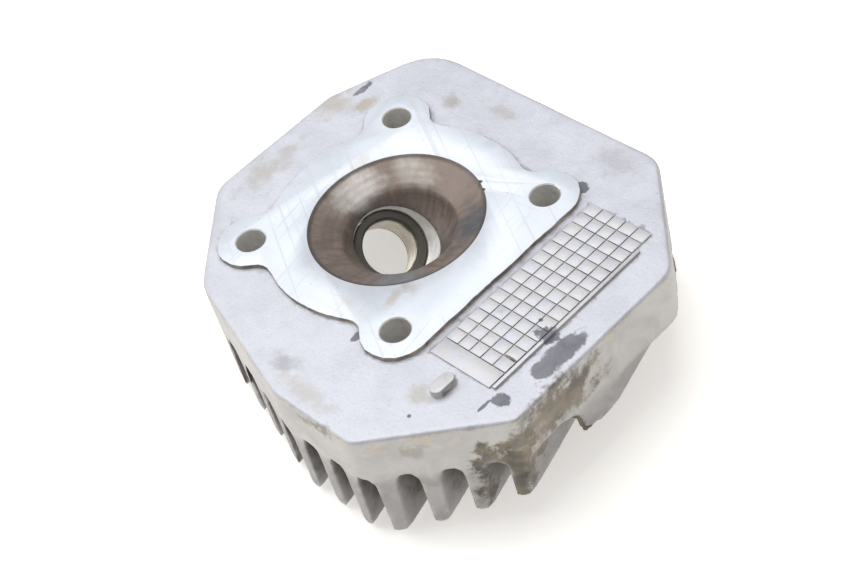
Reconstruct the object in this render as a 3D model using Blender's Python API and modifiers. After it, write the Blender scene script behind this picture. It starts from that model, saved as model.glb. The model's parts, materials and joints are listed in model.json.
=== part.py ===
"""Bare cylinder head of a small air-cooled two-stroke engine, with its gasket face up.

The head is one aluminium casting.  A flat plate carries the machined gasket face and the
combustion chamber on top, and a row of parallel cooling fins hangs under it.  A steel thread
insert lines the leaning spark plug bore, and a flat steel washer sits in each of the four nut
seats between the fins.

Frame: metres, +Z up.  X runs along the long side of the plate and away from the plug bore, Z=0
is the level of the deepest fin tips, and the plate's outline is centred on X=0, Y=0.  Heights in
the plan below are measured from the gasket face (down is negative), and plan positions from the
bore axis, then the whole is shifted to that frame.
"""
import math

import bmesh
import bpy
from mathutils import Matrix, Vector

MM = 0.001

# Plate outline, from the bore axis.
PLATE_RIGHT = 60.7 * MM
PLATE_LEFT = -45.0 * MM
PLATE_BACK = 46.7 * MM
PLATE_FRONT = -50.4 * MM
CHAMFER = 24.2 * MM                 # leg of the square corner chamfers on the right
PLUG_CHAMFER_X = 21.0 * MM          # legs of the corner chamfer at the front left
PLUG_CHAMFER_Y = 23.0 * MM
FRONT_SLOPE = math.radians(17)      # slope of the front left edge
FRONT_SLOPE_RISE = 11.4 * MM        # height of that edge along Y
BACK_SLOPE = math.radians(67.5)     # slope of the back left edge
BACK_SLOPE_RISE = 25.8 * MM         # height of that edge along Y
FRONT_RIGHT_ROUND = 3.0 * MM        # corner rounds, round the outline from the front right
BACK_RIGHT_ROUND = 8.0 * MM
BACK_LEFT_ROUND = 12.7 * MM
LEFT_BACK_ROUND = 6.0 * MM
LEFT_FRONT_ROUND = 8.0 * MM
FRONT_LEFT_ROUND = 12.0 * MM
EDGE_ROUND = 0.8 * MM               # round along the plate's top edge

# Heights, from the gasket face.
CAST_FACE_DROP = 0.8 * MM           # as-cast face below the machined one
PLATE_BOTTOM = -15.4 * MM
FIN_DEPTH = 33.0 * MM               # gasket face to the flat row of deepest fin tips

# Fins: tapered bars side by side under the plate.
FIN_TURN = math.radians(15.6)       # turn of the fins from the Y axis
FIN_PITCH = 8.0 * MM
FIN_ROOT_THICKNESS = 4.4 * MM
FIN_TIP_THICKNESS = 3.5 * MM
FIN_FIRST = -46.8 * MM              # place of the first fin across the row
FIN_COUNT = 14
FIN_CROWN = 8.0 * MM                # place across the row where the tips start to rise
FIN_CROWN_RADIUS = 105.0 * MM       # the tips to the right of it follow this round
FIN_CROWN_CUT = 1.2 * MM            # and its lowest part is cut flat
FIN_END_ROUND = 6.0 * MM            # round at the lower end corners

# Bore, chamber and stud pattern.
CHAMBER_RADIUS = 20.15 * MM
POCKET_RADIUS = 13.0 * MM
BAND_DEPTH = 4.0 * MM               # depth of the cone band from rim to pocket
POCKET_DEPTH = 10.0 * MM            # and of the round pocket below it
STUD_SQUARE = 47.0 * MM
STUD = 6.0 * MM
STUD_PLAY = 0.8 * MM                # stud hole wider than the stud
STUD_HOLE = STUD + STUD_PLAY
NUT_SEAT_DEPTH = 20.0 * MM
CORE_RADIUS = 25.0 * MM
CORE_WALL = 8.0 * MM                # metal under the chamber's deepest point

# Machined pad: a disc with a lobe around each stud hole, squared off on the right.
PAD_RIM = 10.15 * MM                # width of the disc around the chamber
PAD_LOBE_RIM = 4.5 * MM             # width of a lobe around its stud hole
PAD_DISC = CHAMBER_RADIUS + PAD_RIM
PAD_LOBE = STUD_HOLE / 2 + PAD_LOBE_RIM
PAD_FILLET = 4.0 * MM

# Spark plug bore.
PLUG_LEAN = math.radians(41.5)      # lean of the plug axis from straight down
PLUG_MOUTH = (-5.5 * MM, 0.0, -12.5 * MM)
PLUG_REACH = 9.5 * MM
PLUG_RECESS_RIM = 0.35 * MM         # rim around the bore in the chamber wall's recess
PLUG_SEAT_RIM = 3.05 * MM           # width of the seat around the bore
PLUG_ROOM_FLARE = 0.3               # growth of the socket room's radius along the axis
THREAD_CREST = 13.2 * MM
THREAD_PITCH = 1.25 * MM
THREAD_DEPTH = 0.55 * MM
INSERT_WALL = 1.5 * MM

# Washers in the nut seats.
WASHER_PLAY = 0.4 * MM              # washer hole wider than the stud
WASHER_OUTER = 12.5 * MM
WASHER_THICKNESS = 1.6 * MM
NUT_SEAT_RIM = 1.75 * MM            # width of the seat's boss around the washer
NUT_POCKET_RIM = 0.5 * MM           # and of the socket's room around the boss

# Small cast features on the plate's face.
LUG_LENGTH = 6.2 * MM
LUG_WIDTH = 3.1 * MM
LUG_HEIGHT = 1.7 * MM
LUG_INSET = 18.4 * MM               # lug's middle to the plate's right side
LUG_RISE = 22.0 * MM                # and to its front side
LUG_ROUND = 0.3 * MM                # round along its top edge
RAIL_INSET = 9.6 * MM               # rail to the plate's right side
RAIL_WIDTH = 0.9 * MM
RAIL_HEIGHT = 0.35 * MM
RAIL_END_MARGIN = 3.5 * MM          # rail's front end to the chamfer's corner

CLEARANCE = 0.3 * MM                # between a piece and what it sits on or in
OVERSHOOT = 5.0 * MM                # cutters run this far past what they cut

ORIGIN = Vector((-(PLATE_RIGHT + PLATE_LEFT) / 2, -(PLATE_BACK + PLATE_FRONT) / 2, FIN_DEPTH))
FIN_DIRECTION = Vector((-math.sin(FIN_TURN), math.cos(FIN_TURN), 0))
FIN_ACROSS = Vector((math.cos(FIN_TURN), math.sin(FIN_TURN), 0))
PLUG_AXIS = Vector((-math.sin(PLUG_LEAN), 0, -math.cos(PLUG_LEAN)))
PLUG_BORE = THREAD_CREST + 2 * (THREAD_DEPTH + INSERT_WALL + CLEARANCE)
PLUG_RECESS = PLUG_BORE + 2 * PLUG_RECESS_RIM
PLUG_SEAT = PLUG_BORE + 2 * PLUG_SEAT_RIM
STUD_BOSS = WASHER_OUTER + 2 * NUT_SEAT_RIM
NUT_POCKET = STUD_BOSS + 2 * NUT_POCKET_RIM
STUDS = [(x * STUD_SQUARE / 2, y * STUD_SQUARE / 2) for x in (-1, 1) for y in (-1, 1)]


def clear_scene():
    """Remove every object, so that the file starts empty."""
    for item in list(bpy.data.objects):
        bpy.data.objects.remove(item, do_unlink=True)


def new_collection(name):
    """Make a collection in the scene."""
    group = bpy.data.collections.new(name)
    bpy.context.scene.collection.children.link(group)
    return group


def new_material(name, colour, roughness, metallic):
    """Make a Principled material with one colour."""
    material = bpy.data.materials.new(name)
    material.use_nodes = True
    shader = material.node_tree.nodes["Principled BSDF"]
    shader.inputs["Base Color"].default_value = (*colour, 1)
    shader.inputs["Roughness"].default_value = roughness
    shader.inputs["Metallic"].default_value = metallic
    return material


def add_object(name, mesh, group):
    """Put a mesh into a collection as an object."""
    item = bpy.data.objects.new(name, mesh)
    group.objects.link(item)
    return item


def add_tool(name, mesh):
    """Add a shape that only cuts or joins, and isn't part of the head."""
    item = add_object(name, mesh, TOOLS)
    item.hide_render = True
    item.display_type = "WIRE"
    return item


def arc(centre, radius, start, end, steps):
    """Points on an arc from the start angle to the end angle."""
    angles = [start + (end - start) * i / steps for i in range(steps + 1)]
    return [(centre[0] + radius * math.cos(a), centre[1] + radius * math.sin(a)) for a in angles]


def rounded_polygon(corners, steps=5):
    """Outline through (x, y, radius) corners, each one rounded by an arc."""
    points = []
    for i, (x, y, radius) in enumerate(corners):
        here = Vector((x, y))
        before = (Vector(corners[i - 1][:2]) - here).normalized()
        after = (Vector(corners[(i + 1) % len(corners)][:2]) - here).normalized()
        half = before.angle(after) / 2
        centre = here + (before + after).normalized() * (radius / math.sin(half))
        tangent = radius / math.tan(half)
        start = here + before * tangent - centre
        swing = -start.angle_signed(here + after * tangent - centre)
        first = math.atan2(start.y, start.x)
        points += arc(centre, radius, first, first + swing, steps)
    return points


def prism(outline, low, high):
    """Mesh of a flat outline with a thickness, from a filled 2D curve."""
    curve = bpy.data.curves.new("outline", "CURVE")
    curve.dimensions = "2D"
    curve.fill_mode = "BOTH"
    curve.extrude = (high - low) / 2
    spline = curve.splines.new("POLY")
    spline.points.add(len(outline) - 1)
    spline.use_cyclic_u = True
    for point, (x, y) in zip(spline.points, outline):
        point.co = (x, y, 0, 1)
    holder = add_object("outline", curve, TOOLS)
    bpy.context.view_layer.update()
    evaluated = holder.evaluated_get(bpy.context.evaluated_depsgraph_get())
    mesh = bpy.data.meshes.new_from_object(evaluated)
    bpy.data.objects.remove(holder)
    bpy.data.curves.remove(curve)
    shape = bmesh.new()
    shape.from_mesh(mesh)
    bmesh.ops.remove_doubles(shape, verts=shape.verts, dist=0.001 * MM)
    bmesh.ops.dissolve_limit(shape, angle_limit=math.radians(0.5), verts=shape.verts, edges=shape.edges)
    bmesh.ops.recalc_face_normals(shape, faces=shape.faces)
    bmesh.ops.translate(shape, verts=shape.verts, vec=(0, 0, (low + high) / 2))
    shape.to_mesh(mesh)
    shape.free()
    return mesh


def cylinder(radius, low, high, place=(0, 0), steps=32, turn=None, low_radius=None):
    """Mesh of an upright cylinder or cone, or of one turned by a matrix."""
    shape = bmesh.new()
    bmesh.ops.create_cone(
        shape, cap_ends=True, segments=steps, radius1=low_radius or radius, radius2=radius,
        depth=high - low)
    bmesh.ops.translate(shape, verts=shape.verts, vec=(*place, (low + high) / 2))
    if turn:
        bmesh.ops.transform(shape, matrix=turn, verts=shape.verts)
    mesh = bpy.data.meshes.new("cylinder")
    shape.to_mesh(mesh)
    shape.free()
    return mesh


def turned(name, profile, group, steps=64, ring=False):
    """Object of a profile of (radius, height) points turned about Z, top to bottom."""
    mesh = bpy.data.meshes.new(name)
    links = [(i, i + 1) for i in range(len(profile) - 1)]
    if ring:
        links.append((len(profile) - 1, 0))
    mesh.from_pydata([(radius, 0, height) for radius, height in profile], links, [])
    item = add_object(name, mesh, group)
    screw = item.modifiers.new("turn", "SCREW")
    screw.steps = steps
    screw.render_steps = steps
    screw.use_merge_vertices = True
    screw.merge_threshold = 0.005 * MM
    return item


def joined(meshes):
    """One mesh that holds several separate bodies."""
    shape = bmesh.new()
    for mesh in meshes:
        shape.from_mesh(mesh)
        bpy.data.meshes.remove(mesh)
    result = bpy.data.meshes.new("joined")
    shape.to_mesh(result)
    shape.free()
    return result


def combine(item, other, operation, solver="EXACT"):
    """Add, cut or intersect one object with another by a Boolean."""
    modifier = item.modifiers.new(f"{operation.lower()} {other.name}", "BOOLEAN")
    modifier.operation = operation
    modifier.object = other
    modifier.solver = solver


def plug_frame():
    """Matrix that stands on the plug bore's mouth with -Z along the plug axis, outwards."""
    turn = Vector((0, 0, -1)).rotation_difference(PLUG_AXIS).to_matrix().to_4x4()
    return Matrix.Translation(PLUG_MOUTH) @ turn


def plate_outline():
    """Outline of the plate seen from above, from the bore axis."""
    back_left = PLATE_LEFT + BACK_SLOPE_RISE / math.tan(BACK_SLOPE)
    low_front = PLATE_FRONT + FRONT_SLOPE_RISE
    slope_left = PLATE_LEFT + PLUG_CHAMFER_X
    slope_right = slope_left + FRONT_SLOPE_RISE / math.tan(FRONT_SLOPE)
    return rounded_polygon([
        (PLATE_RIGHT - CHAMFER, PLATE_FRONT, FRONT_RIGHT_ROUND),
        (PLATE_RIGHT, PLATE_FRONT + CHAMFER, FRONT_RIGHT_ROUND),
        (PLATE_RIGHT, PLATE_BACK - CHAMFER, BACK_RIGHT_ROUND),
        (PLATE_RIGHT - CHAMFER, PLATE_BACK, BACK_RIGHT_ROUND),
        (back_left, PLATE_BACK, BACK_LEFT_ROUND),
        (PLATE_LEFT, PLATE_BACK - BACK_SLOPE_RISE, LEFT_BACK_ROUND),
        (PLATE_LEFT, low_front + PLUG_CHAMFER_Y, LEFT_FRONT_ROUND),
        (slope_left, low_front, FRONT_LEFT_ROUND),
        (slope_right, PLATE_FRONT, FRONT_LEFT_ROUND),
    ])


def pad_outline():
    """Outline of the machined pad: lobes and disc, blended by fillets, straight on the right."""
    half = STUD_SQUARE / 2
    points = arc((half, -half), PAD_LOBE, -math.pi / 4, 0, 4)
    points += arc((half, half), PAD_LOBE, 0, math.pi / 4, 4)
    reach = half * math.sqrt(2)
    disc_side = PAD_DISC + PAD_FILLET
    lobe_side = PAD_LOBE + PAD_FILLET
    along = (disc_side ** 2 - lobe_side ** 2 + reach ** 2) / (2 * reach)
    aside = math.sqrt(disc_side ** 2 - along ** 2)
    from_disc = math.atan2(aside, along)
    from_lobe = math.atan2(aside, along - reach)
    for quarter in range(1, 4):
        first = math.pi / 4 + (quarter - 1) * math.pi / 2
        second = first + math.pi / 2
        lobe = (reach * math.cos(first), reach * math.sin(first))
        fillet = (disc_side * math.cos(first + from_disc), disc_side * math.sin(first + from_disc))
        points += arc(lobe, PAD_LOBE, first, first + from_lobe, 5)[1:]
        points += arc(fillet, PAD_FILLET, first + from_lobe + math.pi, first + from_disc + math.pi, 4)[1:]
        points += arc((0, 0), PAD_DISC, first + from_disc, second - from_disc, 5)[1:]
        lobe = (reach * math.cos(second), reach * math.sin(second))
        fillet = (disc_side * math.cos(second - from_disc), disc_side * math.sin(second - from_disc))
        points += arc(fillet, PAD_FILLET, second - from_disc + math.pi, second - from_lobe + math.pi, 4)[1:]
        points += arc(lobe, PAD_LOBE, second - from_lobe, second, 5)[1:]
    return points[:-1]


def fin_depth(place):
    """Depth of the tip of the fin at this place across the row: level, then along the crown."""
    drop = max(0.0, place - FIN_CROWN) ** 2 / (2 * FIN_CROWN_RADIUS)
    return FIN_DEPTH - max(0.0, drop - FIN_CROWN_CUT)


def fin_mesh(place):
    """One straight tapered bar with a rounded tip, longer than the plate."""
    tip = fin_depth(place)
    root = PLATE_BOTTOM / 2
    radius = FIN_TIP_THICKNESS / 2
    section = [(-FIN_ROOT_THICKNESS / 2, root)]
    section += arc((0, -tip + radius), radius, math.pi, 2 * math.pi, 6)
    section += [(FIN_ROOT_THICKNESS / 2, root)]
    length = PLATE_RIGHT - PLATE_LEFT
    mesh = prism(section, -length, length)
    frame = Matrix((FIN_ACROSS, Vector((0, 0, 1)), -FIN_DIRECTION)).transposed().to_4x4()
    frame.translation = FIN_ACROSS * place
    mesh.transform(frame)
    return mesh


def fin_places():
    """Places of the fins across the row."""
    return [FIN_FIRST + i * FIN_PITCH for i in range(FIN_COUNT)]


def make_fins():
    """All the fins, longer than the plate."""
    return add_tool("fin_bars", joined([fin_mesh(place) for place in fin_places()]))


def make_envelope():
    """Outer form of the casting: the plate's outline down to the fin tips, with rounded rims."""
    low = -FIN_DEPTH - FIN_END_ROUND / 4
    block = add_tool("envelope", prism(plate_outline(), low, -CAST_FACE_DROP))
    weight_low_edges(block.data)
    for name, limit, width, steps in (
            ("round low edge", "WEIGHT", FIN_END_ROUND, 4), ("round top edge", "ANGLE", EDGE_ROUND, 2)):
        bevel = block.modifiers.new(name, "BEVEL")
        bevel.limit_method = limit
        bevel.angle_limit = math.radians(60)
        bevel.width = width
        bevel.segments = steps
    return block


def weight_low_edges(mesh):
    """Give the edges around the lowest face a full bevel weight."""
    low = min(vertex.co.z for vertex in mesh.vertices)
    weights = mesh.attributes.new("bevel_weight_edge", "FLOAT", "EDGE")
    for edge in mesh.edges:
        if all(mesh.vertices[i].co.z < low + 0.1 * MM for i in edge.vertices):
            weights.data[edge.index].value = 1.0


def make_root_grooves():
    """Half-round grooves that give the gaps between the fins their round roots."""
    radius = (FIN_PITCH - FIN_ROOT_THICKNESS) / 2
    length = PLATE_RIGHT - PLATE_LEFT + 2 * OVERSHOOT
    lay = Matrix.Rotation(FIN_TURN, 4, "Z") @ Matrix.Rotation(math.pi / 2, 4, "X")
    bars = []
    for place in fin_places()[:-1]:
        middle = FIN_ACROSS * (place + FIN_PITCH / 2)
        frame = Matrix.Translation((middle.x, middle.y, PLATE_BOTTOM)) @ lay
        bars.append(cylinder(radius, -length, length, steps=16, turn=frame))
    return add_tool("root_grooves", joined(bars))


def make_core():
    """Round body of metal that holds the chamber, between the plate and the fins."""
    top = PLATE_BOTTOM / 2
    bottom = -(BAND_DEPTH + POCKET_DEPTH + CORE_WALL)
    profile = [(0, top), (CORE_RADIUS, top)]
    start = -BAND_DEPTH - POCKET_DEPTH / 2
    for i in range(9):
        angle = math.pi / 2 * i / 8
        profile.append((CORE_RADIUS * math.cos(angle), start + (bottom - start) * math.sin(angle)))
    core = turned("core", profile, TOOLS, steps=48)
    core.hide_render = True
    core.display_type = "WIRE"
    return core


def make_stud_bosses():
    """Round posts around the stud holes, down to the nut seats."""
    low = -NUT_SEAT_DEPTH - CLEARANCE
    posts = [cylinder(STUD_BOSS / 2, low, PLATE_BOTTOM / 2, place) for place in STUDS]
    return add_tool("stud_bosses", joined(posts))


def make_plug_boss():
    """Leaning post around the plug bore, out to the plug's seat."""
    low = -PLUG_REACH - CLEARANCE
    mesh = cylinder(PLUG_SEAT / 2, low, PLUG_REACH / 3, steps=40, turn=plug_frame())
    return add_tool("plug_boss", mesh)


def make_chamber():
    """Cutter of the combustion chamber: a cone band, then a round pocket."""
    profile = [(0, OVERSHOOT), (CHAMBER_RADIUS, OVERSHOOT), (CHAMBER_RADIUS, 0)]
    rise = (POCKET_RADIUS ** 2 + POCKET_DEPTH ** 2) / (2 * POCKET_DEPTH)
    centre = -BAND_DEPTH - POCKET_DEPTH + rise
    start = math.asin(POCKET_RADIUS / rise)
    for i in range(9):
        angle = start * (1 - i / 8)
        profile.append((rise * math.sin(angle), centre - rise * math.cos(angle)))
    chamber = turned("chamber", profile, TOOLS)
    chamber.hide_render = True
    chamber.display_type = "WIRE"
    return chamber


def make_plug_cutters():
    """Cutters of the recess in the chamber, the bore, and the socket room outside the seat."""
    frame = plug_frame()
    recess = add_tool("plug_recess", cylinder(PLUG_RECESS / 2, 0, CHAMBER_RADIUS / 2, steps=40, turn=frame))
    bore = add_tool("plug_bore", cylinder(PLUG_BORE / 2, -PLUG_REACH - OVERSHOOT, OVERSHOOT / 5,
                                          steps=40, turn=frame))
    seat_room = PLUG_SEAT / 2 + CLEARANCE
    reach = 2 * FIN_DEPTH
    room = add_tool("plug_room", cylinder(
        seat_room, -PLUG_REACH - reach, -PLUG_REACH, steps=40, turn=frame,
        low_radius=seat_room + PLUG_ROOM_FLARE * reach))
    return [recess, bore, room]


def make_stud_cutters():
    """Cutters of the stud holes and of the nut pockets below their seats."""
    low = -FIN_DEPTH - OVERSHOOT
    holes = [cylinder(STUD_HOLE / 2, low, OVERSHOOT, place) for place in STUDS]
    pockets = [cylinder(NUT_POCKET / 2, low, -NUT_SEAT_DEPTH, place) for place in STUDS]
    return [add_tool("stud_holes", joined(holes)), add_tool("nut_pockets", joined(pockets))]


def make_face_features():
    """Raised lug and thin rail cast on the plate's face."""
    start = -CAST_FACE_DROP * 2
    top = -CAST_FACE_DROP + LUG_HEIGHT
    straight = (LUG_LENGTH - LUG_WIDTH) / 2
    lug_x = PLATE_RIGHT - LUG_INSET
    lug_y = PLATE_FRONT + LUG_RISE
    outline = arc((lug_x, lug_y + straight), LUG_WIDTH / 2, 0, math.pi, 8)
    outline += arc((lug_x, lug_y - straight), LUG_WIDTH / 2, math.pi, 2 * math.pi, 8)
    lug = add_tool("lug", prism(outline, start, top))
    rim = lug.modifiers.new("soft rim", "BEVEL")
    rim.width = LUG_ROUND
    rim.segments = 2
    rim.limit_method = "ANGLE"
    rim.angle_limit = math.radians(60)
    low_y = PLATE_FRONT + CHAMFER + RAIL_END_MARGIN
    high_y = PLATE_BACK - CHAMFER
    low_x = PLATE_RIGHT - RAIL_INSET - RAIL_WIDTH / 2
    high_x = low_x + RAIL_WIDTH
    strip = [(low_x, low_y), (high_x, low_y), (high_x, high_y), (low_x, high_y)]
    rail = add_tool("rail", prism(strip, start, -CAST_FACE_DROP + RAIL_HEIGHT))
    return [lug, rail]


def make_casting(material):
    """The head's one casting, machined on its gasket face."""
    reach = 2 * PLATE_RIGHT
    slab = [(-reach, -reach), (reach, -reach), (reach, reach), (-reach, reach)]
    casting = add_object("head_casting", prism(slab, PLATE_BOTTOM, OVERSHOOT), HEAD)
    casting.data.materials.append(material)
    combine(casting, make_root_grooves(), "DIFFERENCE")
    combine(casting, make_fins(), "UNION")
    combine(casting, make_envelope(), "INTERSECT")
    combine(casting, make_core(), "UNION")
    # The posts around the studs and the plug cross the fins in slivers, which the exact solver
    # leaves open.
    pad = add_tool("pad", prism(pad_outline(), -2 * CAST_FACE_DROP, 0))
    for body in [make_stud_bosses(), make_plug_boss(), pad, *make_face_features()]:
        combine(casting, body, "UNION", "MANIFOLD")
    for cutter in [make_chamber(), *make_plug_cutters(), *make_stud_cutters()]:
        combine(casting, cutter, "DIFFERENCE", "MANIFOLD")
    return casting


def make_insert(material):
    """Steel thread insert in the plug bore: a tube with thread rings inside."""
    outer = THREAD_CREST / 2 + THREAD_DEPTH + INSERT_WALL
    crest = THREAD_CREST / 2
    bottom = -PLUG_REACH + CLEARANCE
    top = -CLEARANCE
    count = int((top - bottom) / THREAD_PITCH)
    pitch = (top - bottom) / count
    profile = [(outer, top), (outer, bottom)]
    for i in range(count):
        height = bottom + i * pitch
        profile += [(crest + THREAD_DEPTH, height), (crest, height + pitch / 2)]
    profile.append((crest + THREAD_DEPTH, top))
    insert = turned("plug_thread_insert", profile, HEAD, steps=40, ring=True)
    insert.data.materials.append(material)
    insert.matrix_world = plug_frame()
    return insert


def make_washers(material):
    """A flat washer under each nut seat."""
    washers = []
    for number, (x, y) in enumerate(STUDS, start=1):
        top = -NUT_SEAT_DEPTH - CLEARANCE
        bottom = top - WASHER_THICKNESS
        edge = WASHER_THICKNESS / 8
        hole = (STUD + WASHER_PLAY) / 2
        outer = WASHER_OUTER / 2
        profile = [
            (hole, top), (outer - edge, top), (outer, top - edge), (outer, bottom + edge),
            (outer - edge, bottom), (hole, bottom)]
        washer = turned(f"nut_washer_{number}", profile, HEAD, steps=32, ring=True)
        washer.data.materials.append(material)
        washer.location = (x, y, 0)
        washers.append(washer)
    return washers


clear_scene()
HEAD = new_collection("cylinder_head")
TOOLS = new_collection("shaping_tools")
aluminium = new_material("cast_aluminium", (0.62, 0.62, 0.64), 0.5, 0.9)
steel = new_material("steel", (0.48, 0.46, 0.42), 0.4, 1.0)
centre = bpy.data.objects.new("bore_axis", None)
HEAD.objects.link(centre)
centre.location = ORIGIN
pieces = [make_casting(aluminium), make_insert(steel), *make_washers(steel)]
for item in [*pieces, *TOOLS.objects]:
    item.parent = centre
    if item.type == "MESH" and not item.name.startswith("fin_"):
        item.data.shade_smooth()
        item.data.set_sharp_from_angle(angle=math.radians(35))
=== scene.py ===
"""Looks of a bare two-stroke cylinder head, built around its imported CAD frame.

The head lies with its gasket face up.  One operator makes the as-cast body with its machined
faces, one the steel thread insert, one the nut washers, and one the floor, lights and camera.
"""
import json
import math

import bpy
import numpy as np
from mathutils import Matrix, Vector, noise
from mathutils.bvhtree import BVHTree


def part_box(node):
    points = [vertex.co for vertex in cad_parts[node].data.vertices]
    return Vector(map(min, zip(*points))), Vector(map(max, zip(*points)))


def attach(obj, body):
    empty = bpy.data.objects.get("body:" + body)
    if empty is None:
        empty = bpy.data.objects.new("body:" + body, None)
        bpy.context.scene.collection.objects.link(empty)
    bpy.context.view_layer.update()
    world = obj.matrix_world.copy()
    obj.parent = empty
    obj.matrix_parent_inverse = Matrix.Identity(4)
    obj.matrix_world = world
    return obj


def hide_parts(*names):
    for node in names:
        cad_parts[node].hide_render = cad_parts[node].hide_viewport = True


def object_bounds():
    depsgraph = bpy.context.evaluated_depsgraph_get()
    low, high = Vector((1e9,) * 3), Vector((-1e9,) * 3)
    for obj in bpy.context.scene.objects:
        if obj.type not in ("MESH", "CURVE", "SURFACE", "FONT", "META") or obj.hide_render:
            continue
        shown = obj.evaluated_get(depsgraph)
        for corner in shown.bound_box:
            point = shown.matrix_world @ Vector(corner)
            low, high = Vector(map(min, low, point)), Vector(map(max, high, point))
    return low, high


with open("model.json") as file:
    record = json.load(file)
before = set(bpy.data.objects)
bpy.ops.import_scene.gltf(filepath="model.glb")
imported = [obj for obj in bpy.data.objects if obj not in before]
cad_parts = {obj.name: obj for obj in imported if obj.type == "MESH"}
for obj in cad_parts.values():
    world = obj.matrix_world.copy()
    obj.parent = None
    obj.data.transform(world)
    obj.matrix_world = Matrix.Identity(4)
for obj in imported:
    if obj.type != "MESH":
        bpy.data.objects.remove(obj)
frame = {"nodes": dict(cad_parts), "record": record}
CAD_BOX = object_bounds()

bl_info = {
    "name": "Two-stroke cylinder head",
    "version": (1, 0, 0),
    "blender": (4, 5, 0),
    "location": "3D View > Sidebar > Cylinder head",
    "description": "Builds a bare air-cooled cylinder head and its studio",
    "category": "Object",
}

MM = 0.001
NODES = frame["nodes"]
MOUNTS = {mount["name"]: mount for mount in frame["record"]["mounts"]}
WASHERS = [name for name in sorted(NODES) if name.startswith("nut_washer")]


def box_centre(name):
    """Middle of a CAD node's box."""
    low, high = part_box(name)
    return (low + high) / 2


GASKET = MOUNTS["gasket_face"]["pos_m"][2]
STUDS = [box_centre(name) for name in WASHERS]
BORE = sum(STUDS, Vector()) / len(STUDS)
BORE.z = 0
INSERT = box_centre("plug_thread_insert")
PLUG_AXIS = Vector(MOUNTS["plug_seat"]["axis"]).normalized()
WASHER_LOW, WASHER_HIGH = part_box(WASHERS[0])

# Levels and sizes that the CAD's own pieces fix.
CAST_FACE = GASKET - 0.8 * MM
NUT_SEAT = WASHER_HIGH.z + 0.3 * MM
CHAMBER_RADIUS = 20.15 * MM
POCKET_RADIUS = 13.0 * MM
BAND_DEPTH = 4.0 * MM
POCKET_DEPTH = 10.0 * MM
STUD_HOLE = 3.4 * MM
NUT_POCKET = 8.5 * MM
PLUG_BORE = 8.95 * MM
PLUG_RECESS = 9.3 * MM
PLUG_SEAT = 12.0 * MM
PLUG_REACH = 9.5 * MM
PLUG_MOUTH = INSERT - PLUG_AXIS * (PLUG_REACH / 2)
FIN_TURN = math.radians(15.6)
FIN_ALONG = Vector((-math.sin(FIN_TURN), math.cos(FIN_TURN), 0))
PLATE_BOTTOM = GASKET - 15.4 * MM
UPRIGHT = Matrix.Identity(4)
END_FACING = 0.3                    # least turn towards the fins' direction of an end face
SKIN_SINK = 0.07 * MM               # how far the whole skin is drawn in
BOX_MARGIN = 0.02 * MM
SHELTER_RAYS = 14
SHELTER_REACH = 14 * MM
GOLDEN_ANGLE = 2.39996              # spreads the rays evenly over the half sphere

# Raised cells and rail on the plate, from the bore axis.
CELL_COLUMNS = (33.2, 36.7, 40.0, 43.2, 46.7, 50.3)  # borders, in millimetres
CELL_ROWS = 14
CELL_FRONT = -18.4 * MM
PLAIN_CELL_FRONT = -23.2 * MM
CELL_GROOVE = 0.11 * MM             # half of the groove between two cells
RAIL_MIDDLE = 51.1 * MM
RAIL_HALF = 0.45 * MM
RAIL_FRONT = -22.7 * MM
RAIL_BACK = 22.5 * MM
RAIL_RISE = 0.35 * MM
LUG_PLACE = (42.3, -28.4)           # in millimetres
LUG_RADIUS = 1.55 * MM
INSERT_CREST = 6.6 * MM
INSERT_ROOT = 7.15 * MM
INSERT_OUTER = 8.65 * MM
THREAD_PITCH = 1.25 * MM
PLUG_FRAME = (Matrix.Translation(PLUG_MOUTH)
              @ Vector((0, 0, -1)).rotation_difference(PLUG_AXIS).to_matrix().to_4x4())


def plan(x, y, level=CAST_FACE):
    """Point at a plan position in millimetres from the bore axis, at a level in metres."""
    return Vector((BORE.x + x * MM, BORE.y + y * MM, level))


class CastingSizes(bpy.types.PropertyGroup):
    """Sizes of the cast skin and of the small features on the plate."""
    skin_grid: bpy.props.FloatProperty(
        name="Skin grid", description="Size of the grid that the cast skin is rebuilt on",
        default=0.72 * MM, min=0.4 * MM, unit="LENGTH", precision=5)
    skin_waves: bpy.props.FloatProperty(
        name="Skin waves", description="Depth of the uneven cast skin",
        default=0.16 * MM, unit="LENGTH", precision=5)
    cell_pitch: bpy.props.FloatProperty(
        name="Cell pitch", description="Pitch of the rows of raised cells cast on the plate",
        default=3.3 * MM, unit="LENGTH", precision=5)
    cell_height: bpy.props.FloatProperty(
        name="Cell height", description="Height of the raised cells",
        default=0.10 * MM, unit="LENGTH", precision=5)
    pad_waves: bpy.props.FloatProperty(
        name="Pad waves", description="Unevenness of the machined pad's cast side",
        default=0.22 * MM, unit="LENGTH", precision=5)


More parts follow.
